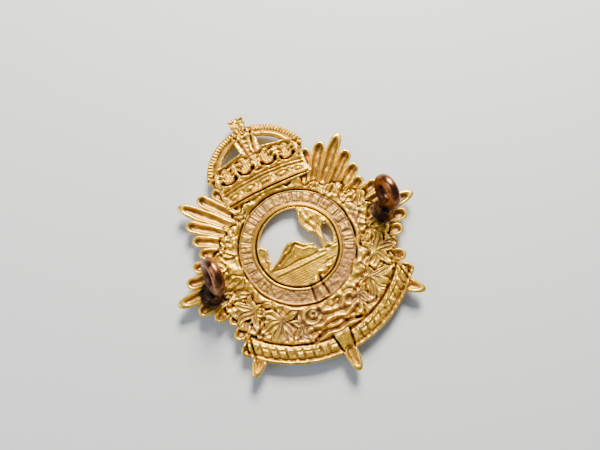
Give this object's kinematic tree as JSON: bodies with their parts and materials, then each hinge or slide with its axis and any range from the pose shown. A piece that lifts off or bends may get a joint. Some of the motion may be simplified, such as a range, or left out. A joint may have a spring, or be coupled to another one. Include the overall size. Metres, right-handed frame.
{
  "type": "cap badge",
  "caption": "Die-struck star cap badge with a crown, ring and ribbon, and two brazed wire loops on its back for a split pin.",
  "frame": {"origin": "under the middle of the badge's outline, in the plane that its front rests on", "axes": "+Z out of the badge's back, +Y towards the crown, +X to the right as the back is seen"},
  "size_m": [0.0464, 0.0514, 0.0104],
  "materials": {
    "struck_sheet": "struck gilding metal, worn bright on the edges and dull in the recesses",
    "wire_loop": "drawn copper wire with a brown patina",
    "braze": "brazing alloy darkened by heat and flux"
  },
  "bodies": {
    "root": {"struck_sheet": "struck_sheet", "left_loop": "wire_loop", "right_loop": "wire_loop", "left_braze": "braze", "right_braze": "braze"}
  },
  "joints": []
}
